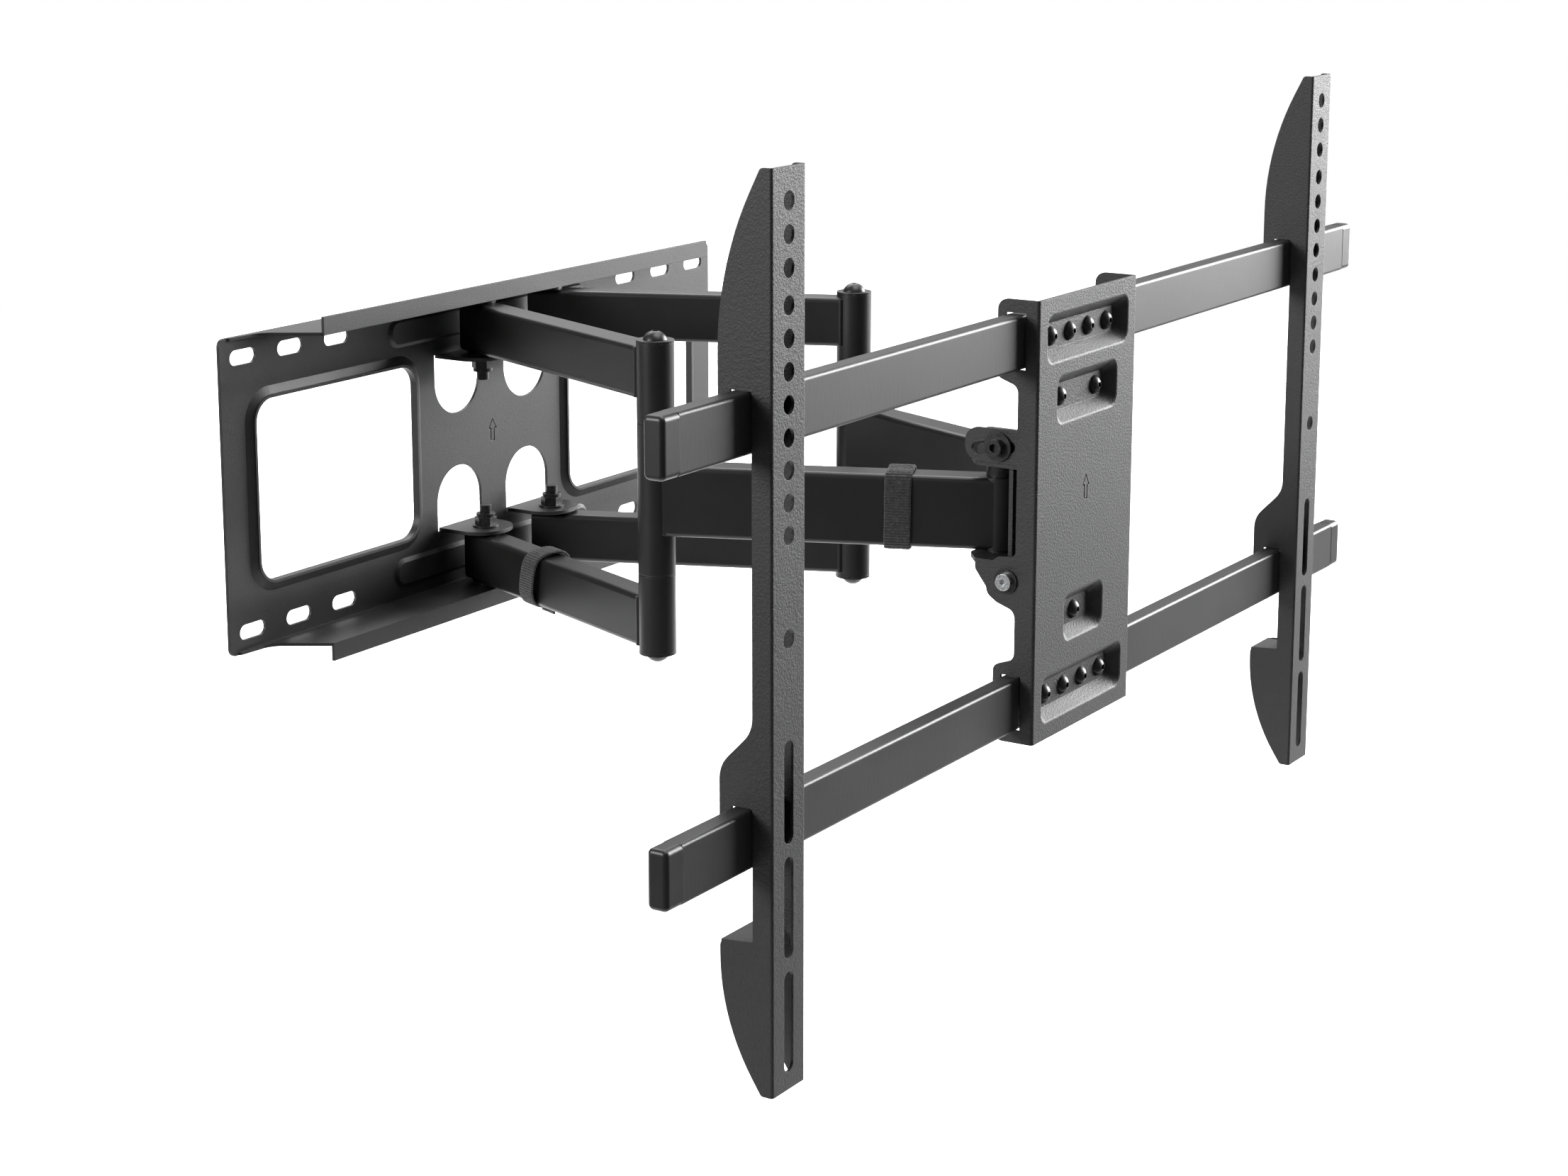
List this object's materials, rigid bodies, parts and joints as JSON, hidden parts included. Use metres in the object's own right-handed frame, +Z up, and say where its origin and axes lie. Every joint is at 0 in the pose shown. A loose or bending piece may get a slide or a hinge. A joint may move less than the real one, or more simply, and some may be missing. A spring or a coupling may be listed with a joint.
{
  "type": "full motion tv wall mount",
  "caption": "Black steel television wall mount: slotted wall plate, twin folding arms, tilting head, cross rails and sliding upright hook-on brackets.",
  "frame": {"origin": "middle of the wall plate's back face", "axes": "+X along the wall, +Y into the wall, +Z up; the television side faces -Y"},
  "size_m": [1.082, 0.57, 0.6075],
  "materials": {
    "powder_coat": "fine orange-peel powder coat, satin black",
    "black_fastener": "black oxide, glossy",
    "zinc_bolt": "bright zinc",
    "plain_steel": "turned steel",
    "cap_plastic": "smooth satin black",
    "bush_plastic": "black acetal",
    "strap_fabric": "woven hook-and-loop"
  },
  "bodies": {
    "wall_bracket": {"wall_plate": "powder_coat", "wall_pivot_bolts": "black_fastener", "wall_pivot_nuts": "black_fastener", "wall_pivot_washers": "bush_plastic"},
    "left_inner_arms": {"left_inner_arm_upper": "powder_coat", "left_inner_arm_lower": "powder_coat", "left_knuckle_pin": "plain_steel", "left_knuckle_screws": "black_fastener", "left_knuckle_washers": "black_fastener", "inner_arm_strap": "strap_fabric"},
    "left_outer_link": {"left_outer_arm": "powder_coat", "left_knuckle_bushes": "bush_plastic", "outer_arm_strap": "strap_fabric"},
    "left_head_pivot": {"left_head_bolt": "black_fastener", "left_head_nut": "black_fastener", "left_head_spacers": "bush_plastic"},
    "right_inner_arms": {"right_inner_arm_upper": "powder_coat", "right_inner_arm_lower": "powder_coat", "right_knuckle_pin": "plain_steel", "right_knuckle_screws": "black_fastener", "right_knuckle_washers": "black_fastener"},
    "right_outer_link": {"right_outer_arm": "powder_coat", "right_knuckle_bushes": "bush_plastic", "right_head_bolt": "black_fastener", "right_head_nut": "black_fastener", "right_head_spacers": "bush_plastic"},
    "yoke": {"head_yoke": "powder_coat", "tilt_pivot_bolts": "zinc_bolt", "tilt_pivot_collars": "black_fastener", "tilt_lock_bolts": "black_fastener", "tilt_lock_washers": "black_fastener", "tilt_nuts": "black_fastener"},
    "tilt_head": {"centre_plate": "powder_coat", "rear_stiffener": "powder_coat", "upper_rail": "powder_coat", "lower_rail": "powder_coat", "upper_left_end_cap": "cap_plastic", "upper_right_end_cap": "cap_plastic", "lower_left_end_cap": "cap_plastic", "lower_right_end_cap": "cap_plastic", "rail_bolts": "black_fastener", "rail_nuts": "black_fastener", "stiffener_bolts": "black_fastener", "stiffener_nuts": "black_fastener"},
    "left_bracket": {"left_tv_bracket": "powder_coat"},
    "right_bracket": {"right_tv_bracket": "powder_coat"}
  },
  "joints": [
    {"name": "arm_extension", "type": "hinge", "parent": "wall_bracket", "child": "left_inner_arms", "pos_m": [-0.046, -0.0295, 0], "axis": [0, 0, -1], "range_deg": [-17, 54]},
    {"name": "left_elbow", "type": "hinge", "parent": "left_inner_arms", "child": "left_outer_link", "pos_m": [-0.1458, -0.27391, 0], "axis": [0, 0, -1], "range_deg": [-108, 34]},
    {"name": "left_head_hinge", "type": "hinge", "parent": "left_outer_link", "child": "left_head_pivot", "pos_m": [-0.046, -0.51832, 0], "axis": [0, 0, -1], "range_deg": [-17, 54]},
    {"name": "head_swivel", "type": "hinge", "parent": "left_head_pivot", "child": "yoke", "pos_m": [-0.046, -0.51832, 0], "axis": [0, 0, 1], "range_deg": [-4, 4]},
    {"name": "right_shoulder", "type": "hinge", "parent": "wall_bracket", "child": "right_inner_arms", "pos_m": [0.046, -0.0295, 0], "axis": [0, 0, -1], "range_deg": [-54, 17]},
    {"name": "right_elbow", "type": "hinge", "parent": "right_inner_arms", "child": "right_outer_link", "pos_m": [0.1458, -0.27391, 0], "axis": [0, 0, -1], "range_deg": [-34, 108]},
    {"name": "head_tilt", "type": "hinge", "parent": "yoke", "child": "tilt_head", "pos_m": [0, -0.542, -0.0437], "axis": [1, 0, 0], "range_deg": [-5, 10]},
    {"name": "left_bracket_slide", "type": "slide", "parent": "tilt_head", "child": "left_bracket", "axis": [1, 0, 0], "range_m": [-0.078, 0.31]},
    {"name": "right_bracket_slide", "type": "slide", "parent": "tilt_head", "child": "right_bracket", "axis": [1, 0, 0], "range_m": [-0.31, 0.078]}
  ],
  "couplings": [
    {"joint": "left_elbow", "follows": "arm_extension", "ratio": -2},
    {"joint": "left_head_hinge", "follows": "arm_extension", "ratio": 1},
    {"joint": "right_shoulder", "follows": "arm_extension", "ratio": -1},
    {"joint": "right_elbow", "follows": "arm_extension", "ratio": 2}
  ]
}
